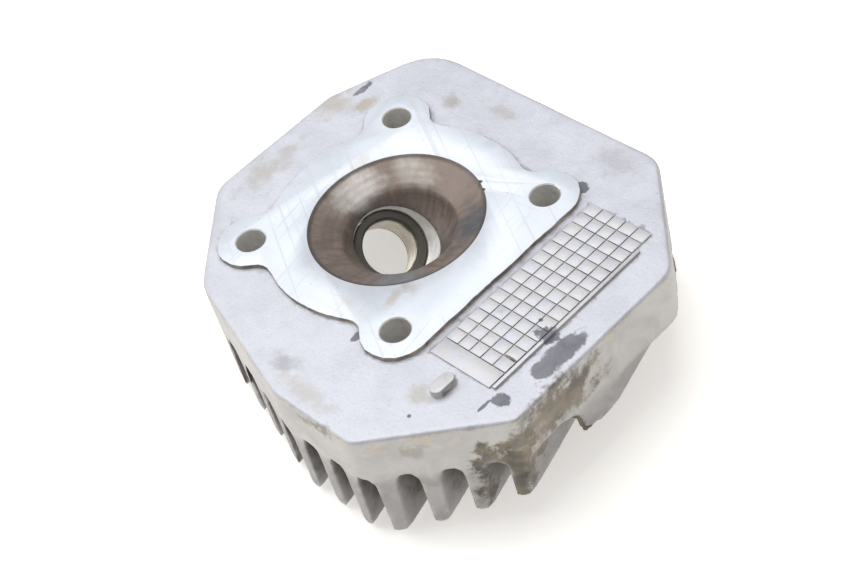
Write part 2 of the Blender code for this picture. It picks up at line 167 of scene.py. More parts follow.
class FinishColours(bpy.types.PropertyGroup):
    """Colours of the head's finishes."""
    cast: bpy.props.FloatVectorProperty(
        name="Cast skin", description="Clean as-cast aluminium",
        subtype="COLOR", default=(0.60, 0.617, 0.685), size=3, min=0, max=1)
    machined: bpy.props.FloatVectorProperty(
        name="Machined face", description="Milled aluminium of the gasket face",
        subtype="COLOR", default=(0.72, 0.77, 0.85), size=3, min=0, max=1)
    soot: bpy.props.FloatVectorProperty(
        name="Soot", description="Burnt deposit in the chamber",
        subtype="COLOR", default=(0.24, 0.19, 0.165), size=3, min=0, max=1)
    # Grime colour, also used as painted shade in sheltered places between the fins.
    grime: bpy.props.FloatVectorProperty(
        name="Grime", description="Oily dirt between the fins",
        subtype="COLOR", default=(0.065, 0.052, 0.035), size=3, min=0, max=1)
    flakes: bpy.props.FloatVectorProperty(
        name="Flakes", description="Cream flakes left on the plate's side",
        subtype="COLOR", default=(0.62, 0.56, 0.44), size=3, min=0, max=1)
    steel: bpy.props.FloatVectorProperty(
        name="Steel", description="Thread insert and washers",
        subtype="COLOR", default=(0.42, 0.40, 0.37), size=3, min=0, max=1)


class StudioSettings(bpy.types.PropertyGroup):
    """Camera and lights."""
    camera_place: bpy.props.FloatVectorProperty(
        name="Camera place", description="Where the camera stands",
        subtype="TRANSLATION", unit="LENGTH", default=(0.24775, -0.16215, 0.3184), size=3)
    camera_up: bpy.props.FloatVectorProperty(
        name="Camera up", description="Which way is up in the picture",
        subtype="DIRECTION", default=(-0.398, 0.608, 0.686), size=3)
    lens: bpy.props.FloatProperty(
        name="Lens", description="Focal length in millimetres",
        default=79.0, min=20, subtype="DISTANCE_CAMERA")
    overhead_power: bpy.props.FloatProperty(
        name="Overhead light", description="Power of the large soft light",
        default=5.5, min=0, unit="POWER")
    sky: bpy.props.FloatProperty(
        name="Sky", description="Strength of the even light all round", default=0.42, min=0)
    floor_glow: bpy.props.FloatProperty(
        name="Floor glow", description="Light that the floor itself gives, as a light table does",
        default=0.5, min=0)


# Mesh work.

def activate(item):
    """Select one object alone and make it active."""
    if bpy.context.object and bpy.context.object.mode != "OBJECT":
        bpy.ops.object.mode_set(mode="OBJECT")
    bpy.ops.object.select_all(action="DESELECT")
    item.hide_viewport = False
    item.select_set(True)
    bpy.context.view_layer.objects.active = item


def edit(item):
    """Open one object in edit mode with nothing selected."""
    activate(item)
    bpy.ops.object.mode_set(mode="EDIT")
    bpy.ops.mesh.select_mode(type="VERT")
    bpy.ops.mesh.select_all(action="DESELECT")


def apply_modifier(item, kind, **settings):
    """Add a modifier with these settings and apply it."""
    modifier = item.modifiers.new(kind.lower(), kind)
    for name, value in settings.items():
        setattr(modifier, name, value)
    activate(item)
    bpy.ops.object.modifier_apply(modifier=modifier.name)


def place(item, matrix):
    """Move a finished shape by a matrix, with its place applied to its mesh."""
    item.matrix_world = matrix
    activate(item)
    bpy.ops.object.transform_apply(location=True, rotation=True, scale=True)


def lathe(name, rings, frame_matrix=UPRIGHT, steps=96, material=None):
    """Solid of (radius, height) rings, extruded and scaled ring by ring from a circle."""
    bpy.ops.object.select_all(action="DESELECT")
    first, start = rings[0]
    bpy.ops.mesh.primitive_circle_add(
        vertices=steps, radius=first, fill_type="NGON", location=(0, 0, start))
    item = bpy.context.object
    item.name = name
    bpy.ops.object.transform_apply(location=True)
    bpy.ops.object.mode_set(mode="EDIT")
    radius, height = first, start
    for new_radius, new_height in rings[1:]:
        bpy.ops.mesh.extrude_region_move(
            TRANSFORM_OT_translate={"value": (0, 0, new_height - height)})
        grow = new_radius / radius
        bpy.ops.transform.resize(value=(grow, grow, 1), center_override=(0, 0, new_height))
        radius, height = new_radius, new_height
    bpy.ops.mesh.select_all(action="SELECT")
    bpy.ops.mesh.normals_make_consistent(inside=False)
    bpy.ops.object.mode_set(mode="OBJECT")
    if material:
        item.data.materials.append(material)
    place(item, frame_matrix)
    return item


def combine(item, other, operation, solver="MANIFOLD"):
    """Add or cut another shape, which is then removed."""
    apply_modifier(item, "BOOLEAN", operation=operation, object=other, solver=solver,
                   material_mode="TRANSFER")
    bpy.data.objects.remove(other, do_unlink=True)


def join(items):
    """Join several objects into the first."""
    activate(items[0])
    for item in items:
        item.select_set(True)
    bpy.ops.object.join()
    return items[0]


def select_faces(item, test):
    """In edit mode, select the faces that a test of place and normal picks."""
    bpy.ops.object.mode_set(mode="OBJECT")
    for face in item.data.polygons:
        face.select = test(face.center, face.normal)
    bpy.ops.object.mode_set(mode="EDIT")
    bpy.ops.mesh.select_mode(type="FACE")


def smooth_by_angle(item, degrees):
    """Smooth shading, with edges sharper than this angle kept sharp."""
    activate(item)
    bpy.ops.object.shade_smooth_by_angle(angle=math.radians(degrees))


def finish_piece(item, slot_name, *nodes):
    """Hand a finished piece to the frame in place of its CAD nodes."""
    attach(item, "root")
    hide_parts(*nodes)


# The cast body.

def disc_filler(place_point, radius, low, high, steps=48):
    """Plug that fills a machined hole, so that the cast skin runs over it."""
    rings = [(radius, low), (radius, high)]
    frame_matrix = Matrix.Translation((place_point.x, place_point.y, 0))
    return lathe("filler", rings, frame_matrix, steps)


def chamber_rings():
    """Profile of the chamber from above the gasket face down to the pocket's bottom."""
    lip = 0.18 * MM
    rise = (POCKET_RADIUS ** 2 + POCKET_DEPTH ** 2) / (2 * POCKET_DEPTH)
    centre = GASKET - BAND_DEPTH - POCKET_DEPTH + rise
    start = math.asin(POCKET_RADIUS / rise)
    rings = [(CHAMBER_RADIUS + lip, GASKET + 3 * MM), (CHAMBER_RADIUS + lip, GASKET)]
    rings.append((CHAMBER_RADIUS, GASKET - lip))
    for share in (0.2, 0.4, 0.6, 0.8, 0.93):
        rings.append((CHAMBER_RADIUS + (POCKET_RADIUS - CHAMBER_RADIUS) * share,
                      GASKET - BAND_DEPTH * share))
    for i in range(17):
        angle = start * (0.985 - i / 17 * 0.985)
        rings.append((rise * math.sin(angle) + 0.01 * MM, centre - rise * math.cos(angle)))
    return rings


def copy_casting():
    """Merged copy of the CAD casting."""
    item = bpy.data.objects.new("cast_head", NODES["head_casting"].data.copy())
    bpy.context.scene.collection.objects.link(item)
    item.data.materials.clear()
    edit(item)
    bpy.ops.mesh.select_all(action="SELECT")
    bpy.ops.mesh.remove_doubles(threshold=0.001 * MM)
    bpy.ops.object.mode_set(mode="OBJECT")
    return item


def fill_machined_holes(item):
    """Fill the chamber, the plug bore and the stud holes, and let each post run past its seat."""
    combine(item, disc_filler(BORE, CHAMBER_RADIUS + 0.9 * MM, GASKET - 14.6 * MM, GASKET - MM), "UNION")
    rings = [(PLUG_SEAT, -PLUG_REACH - 0.5 * MM), (PLUG_SEAT, 0.5 * MM)]
    combine(item, lathe("filler", rings, PLUG_FRAME, 48), "UNION")
    for stud in STUDS:
        combine(item, disc_filler(stud, NUT_POCKET - 0.5 * MM, NUT_SEAT - 0.5 * MM, GASKET - 5 * MM),
                "UNION")
        combine(item, disc_filler(stud, STUD_HOLE + 0.9 * MM, GASKET - 6 * MM, GASKET - MM), "UNION")


def cut_flat(item, level):
    """Cut away all that stands above a level, and close the cut."""
    edit(item)
    bpy.ops.mesh.select_all(action="SELECT")
    bpy.ops.mesh.bisect(plane_co=(0, 0, level), plane_no=(0, 0, 1), use_fill=True, clear_outer=True)
    bpy.ops.object.mode_set(mode="OBJECT")


def lump(centre, size, seed):
    """Rough stone-like shape, for a bite out of a cast edge."""
    bpy.ops.object.select_all(action="DESELECT")
    bpy.ops.mesh.primitive_ico_sphere_add(subdivisions=3, radius=1)
    item = bpy.context.object
    for vertex in item.data.vertices:
        offset = noise.noise(vertex.co * 1.3 + Vector((seed, 0, 0)))
        vertex.co *= 1 + 0.45 * offset
    place(item, Matrix.Translation(centre) @ Matrix.Diagonal((*size, 1)))
    return item


def bite_edges(item):
    """Knock small pieces out of the fin ends and out of the plate's rim."""
    # Plan position and level in millimetres, then the bite's half sizes.
    bites = [
        ((60.5, -31.5, -20.0), (3.4, 2.2, 2.6)),
        ((58.0, -35.0, -24.5), (2.2, 2.0, 2.0)),
        ((46.5, -41.8, -28.5), (1.8, 1.5, 1.2)),
        ((-46.0, 9.0, -25.0), (1.4, 2.0, 1.6)),
        ((20.0, 47.5, -27.0), (2.2, 1.2, 1.5)),
        ((36.5, -50.8, -1.2), (2.5, 0.7, 0.5)),
        ((47.0, -40.6, -0.9), (1.4, 0.6, 0.35)),
        ((61.0, -6.0, -0.8), (0.5, 2.4, 0.4)),
    ]
    for number, (centre, size) in enumerate(bites):
        where = plan(centre[0], centre[1], GASKET + centre[2] * MM)
        combine(item, lump(where, [s * MM for s in size], number * 7.3), "DIFFERENCE")


def roughen(item, sizes):
    """Rebuild the skin on an even grid, soften it, and give it the sag and pits of a sand casting."""
    item.data.remesh_voxel_size = sizes.skin_grid
    activate(item)
    bpy.ops.object.voxel_remesh()
    apply_modifier(item, "SMOOTH", factor=0.5, iterations=3)
    round_fin_ends(item)
    for label, scale, depth, turbulence in (
            ("sag", 9 * MM, sizes.skin_waves * 1.4, 2), ("skin", 1.6 * MM, sizes.skin_waves, 3)):
        texture = bpy.data.textures.new(label, "CLOUDS")
        texture.noise_scale = scale
        texture.noise_depth = turbulence
        texture.noise_basis = "IMPROVED_PERLIN"
        # A middle level of 1 keeps the skin inside the CAD's surface.
        apply_modifier(item, "DISPLACE", texture=texture, texture_coords="GLOBAL",
                       strength=depth, mid_level=1.0)
    # The rebuilt skin can stand a little proud of the surface that it was rebuilt from.
    apply_modifier(item, "DISPLACE", strength=-SKIN_SINK, mid_level=0.0)


def mesh_arrays(mesh):
    """A mesh's points and normals, and the two ends of its edges, as arrays."""
    points, normals = np.empty(len(mesh.vertices) * 3), np.empty(len(mesh.vertices) * 3)
    ends = np.empty(len(mesh.edges) * 2, int)
    mesh.vertices.foreach_get("co", points)
    mesh.vertices.foreach_get("normal", normals)
    mesh.edges.foreach_get("vertices", ends)
    first, second = ends.reshape(-1, 2).T
    return points.reshape(-1, 3), normals.reshape(-1, 3), first, second


def round_fin_ends(item):
    """Round the upright edges of the fins' ends, which the CAD leaves square."""
    points, normals, first, second = mesh_arrays(item.data)
    low = points[:, 2] < PLATE_BOTTOM + 2 * MM
    chosen = (np.abs(normals @ np.array(FIN_ALONG)) > END_FACING) & low
    for rounds in range(3):
        wider = chosen.copy()
        wider[first[chosen[second]]] = True
        wider[second[chosen[first]]] = True
        chosen = wider & low
    group = item.vertex_groups.new(name="fin_ends")
    group.add(np.flatnonzero(chosen).tolist(), 1.0, "REPLACE")
    apply_modifier(item, "SMOOTH", factor=0.5, iterations=14, vertex_group="fin_ends")
    item.vertex_groups.clear()


def thin_out(item, target):
    """Reduce the skin to about this many triangles."""
    count = sum(len(face.vertices) - 2 for face in item.data.polygons)
    if count > target:
        apply_modifier(item, "DECIMATE", ratio=target / count)


def gasket_pad(sizes, material, side_material):
    """The machined pad, from the CAD's own face: its holes filled, its cast side made uneven."""
    source = copy_casting()
    edit(source)
    select_faces(source, lambda c, n: n.z > 0.99 and abs(c.z - GASKET) < 0.02 * MM)
    bpy.ops.mesh.separate(type="SELECTED")
    bpy.ops.object.mode_set(mode="OBJECT")
    pad = next(o for o in bpy.context.selected_objects if o != source)
    bpy.data.objects.remove(source, do_unlink=True)
    pad.name = "gasket_pad"
    outline = outer_loop(pad)
    points = []
    for i, point in enumerate(outline):
        after = outline[(i + 1) % len(outline)]
        parts = max(1, round((after - point).length / (0.9 * MM)))
        points += [point.lerp(after, k / parts) for k in range(parts)]
    for i, point in enumerate(points):
        away = (point - BORE).to_2d().normalized()
        wave = noise.noise(point / (3.2 * MM)) - 0.5 + 0.4 * noise.noise(point / (1.1 * MM))
        points[i] = point + Vector((*away, 0)) * wave * sizes.pad_waves
    mesh = bpy.data.meshes.new("gasket_pad")
    mesh.from_pydata(points, [], [list(range(len(points)))])
    pad.data = mesh
    edit(pad)
    bpy.ops.mesh.select_all(action="SELECT")
    bpy.ops.mesh.extrude_region_move(TRANSFORM_OT_translate={"value": (0, 0, -2 * MM)})
    bpy.ops.mesh.select_all(action="SELECT")
    bpy.ops.mesh.normals_make_consistent(inside=False)
    bpy.ops.object.mode_set(mode="OBJECT")
    pad.data.materials.append(material)
    pad.data.materials.append(side_material)
    for face in pad.data.polygons:
        face.material_index = 0 if face.normal.z > 0.9 else 1
    apply_modifier(pad, "BEVEL", width=0.12 * MM, segments=2, limit_method="ANGLE",
                   angle_limit=math.radians(60))
    return pad


def outer_loop(item):
    """Points of the longest boundary loop of a flat sheet, in order."""
    uses = {}
    for face in item.data.polygons:
        for key in face.edge_keys:
            uses[key] = uses.get(key, 0) + 1
    links = {}
    for (a, b), count in uses.items():
        if count == 1:
            links.setdefault(a, []).append(b)
            links.setdefault(b, []).append(a)
    start = max(links, key=lambda i: item.data.vertices[i].co.x)
    loop, before = [start], None
    while True:
        step = [i for i in links[loop[-1]] if i != before]
        before = loop[-1]
        if step[0] == start or (len(loop) > 2 and start in step):
            break
        loop.append(step[0])
    return [item.data.vertices[i].co.copy() for i in loop]


def raised_lug(material):
    """Long round-ended lug, a little worn on top."""
    bpy.ops.object.select_all(action="DESELECT")
    centre = plan(*LUG_PLACE)
    bpy.ops.mesh.primitive_cylinder_add(vertices=48, radius=LUG_RADIUS, depth=3 * MM)
    lug = bpy.context.object
    for vertex in lug.data.vertices:
        vertex.co.y += math.copysign(LUG_RADIUS, vertex.co.y + 1e-7)
    lug.data.update()
    high = CAD_BOX[1].z - 0.06 * MM
    place(lug, Matrix.Translation((centre.x, centre.y, high - 1.5 * MM)))
    apply_modifier(lug, "BEVEL", width=0.25 * MM, segments=4, limit_method="ANGLE",
                   angle_limit=math.radians(60))
    lug.data.materials.append(material)
    return lug


def beam(low, high, softness, material):
    """Small straight cast rib or cell with soft edges."""
    bpy.ops.object.select_all(action="DESELECT")
    size = high - low
    bpy.ops.mesh.primitive_cube_add(size=1, location=(low + high) / 2)
    item = bpy.context.object
    item.scale = size
    bpy.ops.object.transform_apply(location=True, scale=True)
    apply_modifier(item, "BEVEL", width=softness, segments=2)
    item.data.materials.append(material)
    return item


def cell_patch(sizes, material):
    """Field of low raised cells beside the pad, with one plain long cell at its front, and the rail."""
    spans = [(CELL_COLUMNS[0] * MM, CELL_COLUMNS[-1] * MM, PLAIN_CELL_FRONT, CELL_FRONT)]
    for left, right in zip(CELL_COLUMNS, CELL_COLUMNS[1:]):
        for row in range(CELL_ROWS):
            start = CELL_FRONT + row * sizes.cell_pitch
            spans.append((left * MM, right * MM, start, start + sizes.cell_pitch))
    beams = []
    for left, right, start, end in spans:
        roll = abs(noise.noise(Vector((left, start, 0)) / (2.3 * MM)))
        high = CAST_FACE + sizes.cell_height * (0.65 + 0.6 * min(roll, 0.6))
        low = Vector((BORE.x + left + CELL_GROOVE, BORE.y + start + CELL_GROOVE, CAST_FACE - 0.5 * MM))
        top = Vector((BORE.x + right - CELL_GROOVE, BORE.y + end - CELL_GROOVE, high))
        beams.append(beam(low, top, 0.06 * MM, material))
    low = Vector((BORE.x + RAIL_MIDDLE - RAIL_HALF, BORE.y + RAIL_FRONT, CAST_FACE - 0.5 * MM))
    top = Vector((BORE.x + RAIL_MIDDLE + RAIL_HALF, BORE.y + RAIL_BACK, CAST_FACE + RAIL_RISE))
    beams.append(beam(low, top, 0.12 * MM, material))
    return join(beams)


def cut_machined_holes(item, bored, chamber, milled):
    """Cut the crisp chamber, plug bore, stud holes and nut seats."""
    combine(item, lathe("chamber", chamber_rings(), Matrix.Translation((BORE.x, BORE.y, 0)), 160,
                        chamber), "DIFFERENCE")
    lip = 0.25 * MM
    rings = [(PLUG_RECESS, 9 * MM), (PLUG_RECESS, -0.02 * MM), (PLUG_BORE + 0.02 * MM, -0.02 * MM),
             (PLUG_BORE, -lip), (PLUG_BORE, -PLUG_REACH + lip), (PLUG_BORE + lip, -PLUG_REACH),
             (PLUG_SEAT + 0.3 * MM, -PLUG_REACH - 0.01 * MM), (PLUG_SEAT + 3 * MM, -PLUG_REACH - 9 * MM)]
    combine(item, lathe("plug_bore", rings, PLUG_FRAME, 96, bored), "DIFFERENCE")
    for stud in STUDS:
        rings = [(STUD_HOLE + lip, GASKET + MM), (STUD_HOLE + lip, GASKET), (STUD_HOLE, GASKET - lip),
                 (STUD_HOLE, NUT_SEAT + lip), (STUD_HOLE + lip, NUT_SEAT - 0.01 * MM)]
        upright = Matrix.Translation((stud.x, stud.y, 0))
        combine(item, lathe("stud_hole", rings, upright, 48, bored), "DIFFERENCE")
        rings = [(NUT_POCKET, NUT_SEAT), (NUT_POCKET, -MM)]
        combine(item, lathe("nut_seat", rings, upright, 48, milled), "DIFFERENCE")


def nick_chamber_rim(item, chamber):
    """Small nicks along the right of the chamber's rim."""
    for number, (x, y, size) in enumerate(((8.3, 18.6, 0.6), (10.7, 17.3, 0.5))):
        nick = lump(plan(x, y, GASKET), (size * MM, size * 0.8 * MM, 0.3 * MM), number * 3.1)
        nick.data.materials.append(chamber)
        combine(item, nick, "DIFFERENCE")


def keep_inside(item):
    """Hold every point of a piece just inside the CAD's box."""
    points = np.empty(len(item.data.vertices) * 3)
    item.data.vertices.foreach_get("co", points)
    low, high = np.array(CAD_BOX[0]) + BOX_MARGIN, np.array(CAD_BOX[1]) - BOX_MARGIN
    held = np.clip(points.reshape(-1, 3), low, high)
    item.data.vertices.foreach_set("co", held.ravel())
    item.data.update()


def mark_relief(item):
    """Store how hollow, how sharp and how sheltered the surface is, for grime, painted shade and wear."""
    mesh = item.data
    count = len(mesh.vertices)
    points, normals, first, second = mesh_arrays(mesh)
    along = points[second] - points[first]
    length = np.maximum(np.linalg.norm(along, axis=1), 0.05 * MM) ** 2
    degree = np.bincount(first, minlength=count) + np.bincount(second, minlength=count)
    bend = (np.bincount(first, (along * normals[first]).sum(1) / length, count)
            - np.bincount(second, (along * normals[second]).sum(1) / length, count)) / degree
    bend = np.clip(bend * MM, -2, 2)
    for rounds in range(4):
        spread = np.bincount(first, bend[second], count) + np.bincount(second, bend[first], count)
        bend = 0.5 * bend + 0.5 * spread / degree
    # Shelter: the share of rays that hit the body, which drives the grime and painted shade.
    tree = BVHTree.FromObject(item, bpy.context.evaluated_depsgraph_get())
    rays = []
    for i in range(SHELTER_RAYS):
        height = 1 - (i + 0.5) / SHELTER_RAYS
        angle = i * GOLDEN_ANGLE
        flat = math.sqrt(1 - height * height)
        rays.append(Vector((flat * math.cos(angle), flat * math.sin(angle), height)))
    shelter = np.zeros(count)
    for i, vertex in enumerate(mesh.vertices):
        turn = Vector((0, 0, 1)).rotation_difference(vertex.normal)
        start = vertex.co + vertex.normal * 0.1 * MM
        blocked = sum(tree.ray_cast(start, turn @ ray, SHELTER_REACH)[0] is not None for ray in rays)
        shelter[i] = blocked / len(rays)
    for rounds in range(3):
        spread = (np.bincount(first, shelter[second], count)
                  + np.bincount(second, shelter[first], count))
        shelter = 0.4 * shelter + 0.6 * spread / degree
    for name, values in (("hollow", np.clip(bend * 3, 0, 1)), ("sharp", np.clip(-bend * 3, 0, 1)),
                         ("shelter", shelter)):
        attribute = mesh.attributes.new(name, "FLOAT", "POINT")
        attribute.data.foreach_set("value", values.astype(np.float32))


# Shader node groups.

class Nodes:
    """Short ways to add and link nodes in one tree."""

    def __init__(self, tree):
        self.tree = tree

    def add(self, kind, inputs=(), **settings):
        """Add a node with settings, and set or link its inputs by name or number."""
        node = self.tree.nodes.new(kind)
        for name, value in settings.items():
            setattr(node, name, value)
        for key, value in dict(inputs).items():
            if isinstance(value, bpy.types.NodeSocket):
                self.tree.links.new(value, node.inputs[key])
            else:
                node.inputs[key].default_value = value
        return node

    def maths(self, operation, first, second=0.0, clamp=False):
        """Result of a Math node."""
        return self.add("ShaderNodeMath", {0: first, 1: second}, operation=operation,
                        use_clamp=clamp).outputs[0]

    def times(self, first, second, clamp=False):
        """Product of two values."""
        return self.maths("MULTIPLY", first, second, clamp)

    def plus(self, first, second):
        """Sum of two values."""
        return self.maths("ADD", first, second)

    def without(self, value):
        """What a share leaves of one."""
        return self.maths("SUBTRACT", 1.0, value)

    def feed(self, node, name, value):
        """Link a value to one of a node's inputs."""
        self.tree.links.new(value, node.inputs[name])

    def patch(self, tree, where, centre, size, ragged, soft, detail_size):
        """Mask of one ragged patch, with its size in millimetres."""
        return self.group(tree, place=where, centre=centre, size=[s * MM for s in size],
                          ragged=ragged, soft=soft, detail_size=detail_size)["Mask"]

    def spread(self, value, low, high, to_low=0.0, to_high=1.0):
        """Value eased from one range to another."""
        return self.add("ShaderNodeMapRange", {
            "Value": value, "From Min": low, "From Max": high, "To Min": to_low, "To Max": to_high,
        }, interpolation_type="SMOOTHSTEP").outputs["Result"]

    def mix(self, share, first, second, blend="MIX"):
        """Mix of two colours."""
        node = self.add("ShaderNodeMix", {0: share}, data_type="RGBA", blend_type=blend)
        for socket, value in ((node.inputs[6], first), (node.inputs[7], second)):
            if isinstance(value, bpy.types.NodeSocket):
                self.tree.links.new(value, socket)
            else:
                socket.default_value = (*value, 1) if len(value) == 3 else value
        return node.outputs[2]

    def noise(self, where, scale, detail=3.0, roughness=0.55, distortion=0.0):
        """Noise value at a place, with its scale in features per metre."""
        return self.add("ShaderNodeTexNoise", {
            "Vector": where, "Scale": scale, "Detail": detail, "Roughness": roughness,
            "Distortion": distortion}).outputs[0]

    def group(self, tree, **inputs):
        """Place a node group and set its inputs by their names."""
        named = {key.replace("_", " ").capitalize(): value for key, value in inputs.items()}
        return self.add("ShaderNodeGroup", named, node_tree=tree).outputs

    def attribute(self, name):
        """Value of one of the mesh's own attributes."""
        return self.add("ShaderNodeAttribute", attribute_name=name).outputs["Fac"]

    def place(self):
        """Object coordinates."""
        return self.add("ShaderNodeTexCoord").outputs["Object"]


def new_group(name, inputs, outputs):
    """Start a shader node group with named float, vector or colour sockets."""
    tree = bpy.data.node_groups.new(name, "ShaderNodeTree")
    kinds = {"f": "NodeSocketFloat", "v": "NodeSocketVector", "c": "NodeSocketColor"}
    for label, kind, value in inputs:
        socket = tree.interface.new_socket(label, in_out="INPUT", socket_type=kinds[kind])
        if value is not None:
            socket.default_value = value
    for label, kind in outputs:
        tree.interface.new_socket(label, in_out="OUTPUT", socket_type=kinds[kind])
    nodes = Nodes(tree)
    return tree, nodes, nodes.add("NodeGroupInput").outputs, nodes.add("NodeGroupOutput")


def sand_grain_group():
    """Sand-cast grain: fine pits, soft lumps and a slow mottling."""
    tree, nodes, given, out = new_group(
        "sand_cast_grain",
        [("Place", "v", None), ("Grain", "f", 1500.0), ("Mottle", "f", 120.0)],
        [("Height", "f"), ("Mottling", "f"), ("Speckle", "f")])
    fine = nodes.noise(given["Place"], given["Grain"], 3.0, 0.6)
    coarse = nodes.noise(given["Place"], nodes.times(given["Grain"], 0.28), 4.0, 0.6)
    pits = nodes.add("ShaderNodeTexVoronoi", {
        "Vector": given["Place"], "Scale": nodes.times(given["Grain"], 0.5),
        "Randomness": 1.0}).outputs["Distance"]
    dimples = nodes.spread(pits, 0.0, 0.35)
    height = nodes.plus(nodes.times(fine, 0.35), nodes.times(coarse, 0.5))
    height = nodes.plus(height, nodes.times(dimples, 0.15))
    slow = nodes.noise(given["Place"], given["Mottle"], 5.0, 0.62, 0.6)
    nodes.feed(out, "Height", height)
    nodes.feed(out, "Mottling", nodes.spread(slow, 0.32, 0.68))
    nodes.feed(out, "Speckle", nodes.spread(fine, 0.52, 0.72))
    return tree


def patch_group():
    """Mask of one patch round a centre, with a ragged border."""
    tree, nodes, given, out = new_group(
        "ragged_patch",
        [("Place", "v", None), ("Centre", "v", (0, 0, 0)), ("Size", "v", (1, 1, 1)),
         ("Ragged", "f", 0.6), ("Soft", "f", 0.4), ("Detail size", "f", 500.0)],
        [("Mask", "f")])
    offset = nodes.add("ShaderNodeVectorMath", {0: given["Place"], 1: given["Centre"]},
                       operation="SUBTRACT").outputs[0]
    scaled = nodes.add("ShaderNodeVectorMath", {0: offset, 1: given["Size"]},
                       operation="DIVIDE").outputs[0]
    reach = nodes.add("ShaderNodeVectorMath", {0: scaled}, operation="LENGTH").outputs["Value"]
    wobble = nodes.noise(given["Place"], given["Detail size"], 4.0, 0.65)
    wobble = nodes.times(nodes.maths("SUBTRACT", wobble, 0.5), given["Ragged"])
    edge = nodes.plus(reach, nodes.times(wobble, 3.0))
    inner = nodes.without(given["Soft"])
    mask = nodes.add("ShaderNodeMapRange", {
        "Value": edge, "From Min": inner, "From Max": 1.0, "To Min": 1.0, "To Max": 0.0},
        interpolation_type="SMOOTHSTEP").outputs["Result"]
    nodes.feed(out, "Mask", mask)
    return tree


def grime_and_shade_group():
    """Grime and painted shade that gather where the surface is sheltered and hollow, broken up by noise."""
    tree, nodes, given, out = new_group(
        "gathered_grime",
        [("Place", "v", None), ("Shelter", "f", 0.0), ("Hollow", "f", 0.0), ("Amount", "f", 1.0),
         ("Break up", "f", 260.0)],
        [("Mask", "f"), ("Tone", "f")])
    rough = nodes.noise(given["Place"], given["Break up"], 6.0, 0.68, 0.8)
    tone = nodes.noise(given["Place"], nodes.times(given["Break up"], 0.4), 3.0, 0.6)
    gathered = nodes.plus(nodes.times(given["Shelter"], 1.15), nodes.times(given["Hollow"], 0.35))
    broken = nodes.plus(gathered, nodes.times(nodes.maths("SUBTRACT", rough, 0.5), 0.9))
    mask = nodes.times(nodes.spread(broken, 0.3, 0.95), given["Amount"], True)
    nodes.feed(out, "Mask", mask)
    nodes.feed(out, "Tone", nodes.spread(tone, 0.35, 0.65))
    return tree


def scratch_group():
    """Long fine scratches and milling lines across a flat face."""
    tree, nodes, given, out = new_group(
        "fine_scratches",
        [("Place", "v", None), ("Turn", "f", 0.3), ("Fineness", "f", 900.0)],
        [("Height", "f"), ("Mask", "f")])
    layers = []
    for number, (turn, stretch, low, high) in enumerate(
            ((0.0, 0.012, 0.60, 0.66), (0.9, 0.02, 0.64, 0.69), (-0.6, 0.03, 0.66, 0.71))):
        angle = nodes.plus(given["Turn"], turn)
        turned = nodes.add("ShaderNodeVectorRotate", {"Vector": given["Place"], "Angle": angle},
                           rotation_type="Z_AXIS").outputs[0]
        squeezed = nodes.add("ShaderNodeVectorMath", {0: turned, 1: (stretch, 1.0, 1.0)},
                             operation="MULTIPLY").outputs[0]
        lines = nodes.noise(squeezed, nodes.times(given["Fineness"], 1.0 + number), 2.0, 0.5)
        layers.append(nodes.spread(lines, low, high))
    mask = nodes.maths("MAXIMUM", nodes.maths("MAXIMUM", layers[0], layers[1]), layers[2])
    nodes.feed(out, "Height", nodes.without(mask))
    nodes.feed(out, "Mask", mask)
    return tree


def lathe_group():
    """Rings left by a turning tool round an axis through the origin of the given place."""
    tree, nodes, given, out = new_group(
        "turning_rings",
        [("Place", "v", None), ("Pitch", "f", 4000.0), ("Waver", "f", 0.3)],
        [("Height", "f"), ("Angle noise", "f")])
    parts = nodes.add("ShaderNodeSeparateXYZ", {0: given["Place"]}).outputs
    square = nodes.plus(nodes.maths("POWER", parts[0], 2.0), nodes.maths("POWER", parts[1], 2.0))
    radius = nodes.maths("SQRT", square)
    slope = nodes.maths("SUBTRACT", radius, parts[2])
    turns = nodes.times(slope, given["Pitch"])
    shake = nodes.noise(given["Place"], 300.0, 2.0)
    turns = nodes.plus(turns, nodes.times(shake, given["Waver"]))
    wave = nodes.maths("SINE", turns)
    angle = nodes.maths("ARCTAN2", parts[1], parts[0])
    spot = nodes.add("ShaderNodeCombineXYZ", {
        0: nodes.maths("COSINE", angle), 1: nodes.maths("SINE", angle),
        2: nodes.times(radius, 25.0)}).outputs[0]
    nodes.feed(out, "Height", nodes.spread(wave, -1.0, 1.0))
    nodes.feed(out, "Angle noise", nodes.noise(spot, 9.0, 5.0, 0.62))
    return tree


def shared_groups():
    """The shader groups, built once."""
    makers = {"grain": sand_grain_group, "patch": patch_group, "grime": grime_and_shade_group,
              "scratches": scratch_group, "rings": lathe_group}
    return {name: make() for name, make in makers.items()}


def new_material(name):
    """Empty material with a Principled shader: its node helper and the shader."""
    material = bpy.data.materials.new(name)
    material.use_nodes = True
    shader = material.node_tree.nodes["Principled BSDF"]
    return material, Nodes(material.node_tree), shader


def bump(nodes, shader, height, strength, distance):
    """Feed a height to the shader's normal."""
    node = nodes.add("ShaderNodeBump", {"Height": height, "Strength": strength, "Distance": distance})
    nodes.feed(shader, "Normal", node.outputs[0])


def about(nodes, where, centre):
    """Place measured from a centre."""
    return nodes.add("ShaderNodeVectorMath", {0: where, 1: centre}, operation="SUBTRACT").outputs[0]


